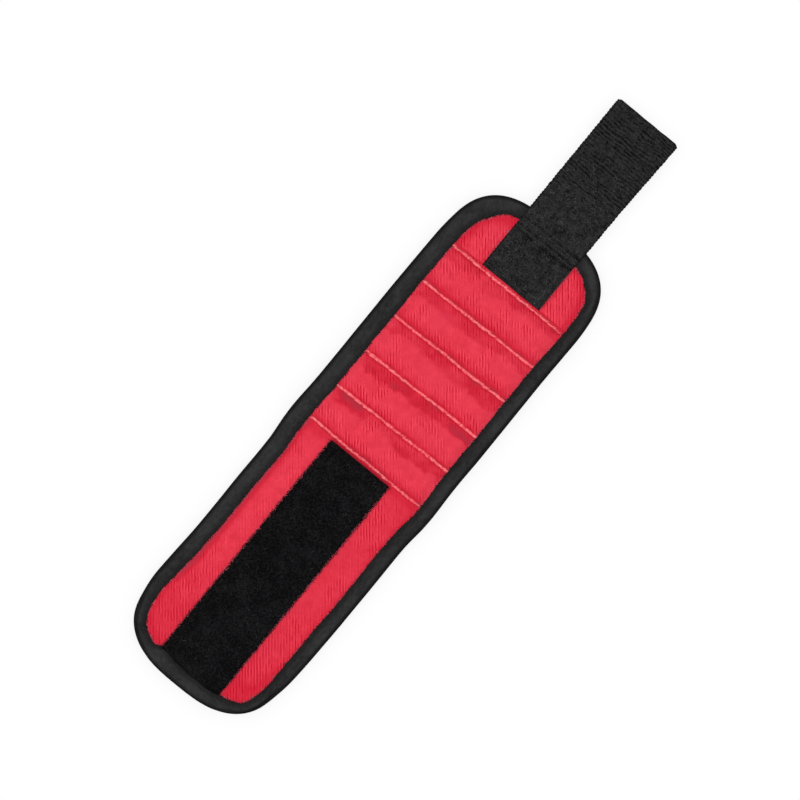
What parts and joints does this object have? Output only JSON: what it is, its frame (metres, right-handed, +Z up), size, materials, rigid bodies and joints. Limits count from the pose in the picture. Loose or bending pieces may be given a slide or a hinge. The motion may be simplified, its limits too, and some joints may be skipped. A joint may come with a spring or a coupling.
{
  "type": "magnetic wristband",
  "caption": "Padded cloth wristband with sewn magnet pockets, a loop-faced tail and a hook-faced strap that closes it round a wrist or sleeve.",
  "frame": {"origin": "under the middle of the whole band, on the surface that it lies on", "axes": "+Y along the band towards the strap tip, +X across it, +Z up through the pockets"},
  "size_m": [0.09, 0.3714, 0.0063],
  "materials": {
    "red_cloth": "matt twill-woven polyester",
    "air_mesh": "open knitted spacer mesh",
    "binding_tape": "matt woven binding tape",
    "loop_tape": "brushed nylon loop pile",
    "hook_tape": "ribbed woven nylon with moulded hooks below",
    "magnet": "nickel-plated sintered magnet"
  },
  "bodies": {
    "row_3": {"shell_row_3": "red_cloth", "lining_row_3": "air_mesh", "pocket_row_3": "red_cloth", "binding_left_row_3": "binding_tape", "binding_right_row_3": "binding_tape", "magnet_left_row_3": "magnet", "magnet_right_row_3": "magnet"},
    "row_2": {"shell_row_2": "red_cloth", "lining_row_2": "air_mesh", "pocket_row_2": "red_cloth", "binding_left_row_2": "binding_tape", "binding_right_row_2": "binding_tape", "magnet_left_row_2": "magnet", "magnet_right_row_2": "magnet"},
    "row_1": {"shell_row_1": "red_cloth", "lining_row_1": "air_mesh", "pocket_row_1": "red_cloth", "binding_left_row_1": "binding_tape", "binding_right_row_1": "binding_tape", "magnet_left_row_1": "magnet", "magnet_right_row_1": "magnet"},
    "head": {"shell_head": "red_cloth", "lining_head": "air_mesh", "binding_head": "binding_tape", "strap_root": "hook_tape"},
    "strap_1": {"strap_1": "hook_tape"},
    "strap_2": {"strap_2": "hook_tape"},
    "row_4": {"shell_row_4": "red_cloth", "lining_row_4": "air_mesh", "pocket_row_4": "red_cloth", "binding_left_row_4": "binding_tape", "binding_right_row_4": "binding_tape", "magnet_left_row_4": "magnet", "magnet_right_row_4": "magnet"},
    "row_5": {"shell_row_5": "red_cloth", "lining_row_5": "air_mesh", "pocket_row_5": "red_cloth", "binding_left_row_5": "binding_tape", "binding_right_row_5": "binding_tape", "magnet_left_row_5": "magnet", "magnet_right_row_5": "magnet"},
    "tail_1": {"shell_tail_1": "red_cloth", "lining_tail_1": "air_mesh", "loop_tape_1": "loop_tape", "binding_left_tail_1": "binding_tape", "binding_right_tail_1": "binding_tape"},
    "tail_2": {"shell_tail_2": "red_cloth", "lining_tail_2": "air_mesh", "loop_tape_2": "loop_tape", "binding_left_tail_2": "binding_tape", "binding_right_tail_2": "binding_tape"},
    "tail_3": {"shell_tail_3": "red_cloth", "lining_tail_3": "air_mesh", "loop_tape_3": "loop_tape", "binding_left_tail_3": "binding_tape", "binding_right_tail_3": "binding_tape"},
    "tail_4": {"shell_tail_4": "red_cloth", "lining_tail_4": "air_mesh", "loop_tape_4": "loop_tape", "binding_tail_end": "binding_tape"}
  },
  "joints": [
    {"name": "seam_fold_3", "type": "hinge", "parent": "row_3", "child": "row_2", "pos_m": [0, 0.02935, 0.0024], "axis": [-1, 0, 0], "range_deg": [-20, 25.5]},
    {"name": "seam_fold_2", "type": "hinge", "parent": "row_2", "child": "row_1", "pos_m": [0, 0.05205, 0.0024], "axis": [-1, 0, 0], "range_deg": [-20, 25.5]},
    {"name": "head_fold", "type": "hinge", "parent": "row_1", "child": "head", "pos_m": [0, 0.07675, 0.0024], "axis": [-1, 0, 0], "range_deg": [-20, 35.5]},
    {"name": "strap_root_fold", "type": "hinge", "parent": "head", "child": "strap_1", "pos_m": [0.002, 0.11475, 0.004], "axis": [-1, 0, 0], "range_deg": [-60, 50]},
    {"name": "strap_fold", "type": "hinge", "parent": "strap_1", "child": "strap_2", "pos_m": [0.002, 0.15775, 0.004], "axis": [-1, 0, 0], "range_deg": [-45, 43.5]},
    {"name": "seam_fold_4", "type": "hinge", "parent": "row_3", "child": "row_4", "pos_m": [0, 0.00665, 0.0024], "axis": [1, 0, 0], "range_deg": [-20, 25.5]},
    {"name": "seam_fold_5", "type": "hinge", "parent": "row_4", "child": "row_5", "pos_m": [0, -0.01605, 0.0024], "axis": [1, 0, 0], "range_deg": [-20, 25.5]},
    {"name": "tail_root_fold", "type": "hinge", "parent": "row_5", "child": "tail_1", "pos_m": [0, -0.04075, 0.0024], "axis": [1, 0, 0], "range_deg": [-20, 42]},
    {"name": "tail_fold_1", "type": "hinge", "parent": "tail_1", "child": "tail_2", "pos_m": [0, -0.077, 0.0024], "axis": [1, 0, 0], "range_deg": [-20, 43.5]},
    {"name": "tail_fold_2", "type": "hinge", "parent": "tail_2", "child": "tail_3", "pos_m": [0, -0.11325, 0.0024], "axis": [1, 0, 0], "range_deg": [-20, 43.5]},
    {"name": "tail_fold_3", "type": "hinge", "parent": "tail_3", "child": "tail_4", "pos_m": [0, -0.1495, 0.0024], "axis": [1, 0, 0], "range_deg": [-20, 43.5]}
  ]
}
